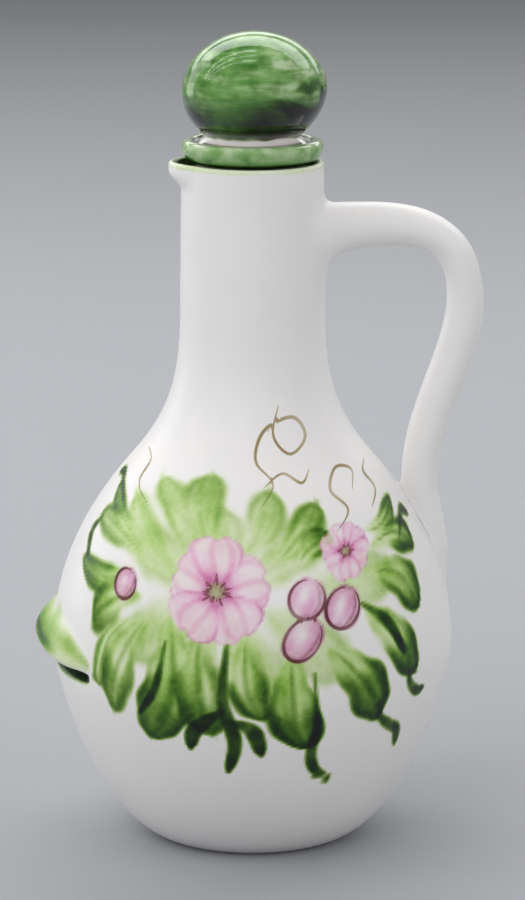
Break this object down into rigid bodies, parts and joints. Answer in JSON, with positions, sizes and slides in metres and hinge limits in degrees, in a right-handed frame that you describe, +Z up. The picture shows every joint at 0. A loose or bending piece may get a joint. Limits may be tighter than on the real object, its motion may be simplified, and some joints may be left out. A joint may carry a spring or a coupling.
{
  "type": "lidded carafe",
  "caption": "Glazed ceramic carafe with a loop handle, pinched spout, hooded finger recess and a hollow ball stopper.",
  "frame": {"origin": "centre of the foot ring, on the surface that the carafe stands on", "axes": "+Z up along the axis of the turned body, +X toward the handle, -X toward the spout and the hooded recess"},
  "size_m": [0.1553, 0.1384, 0.2803],
  "materials": {
    "white_glaze": "gloss, hand-painted underglaze decoration on the front",
    "green_glaze": "gloss, mottled green over a white collar"
  },
  "bodies": {
    "root": {"carafe": "white_glaze", "stopper": "green_glaze"}
  },
  "joints": []
}
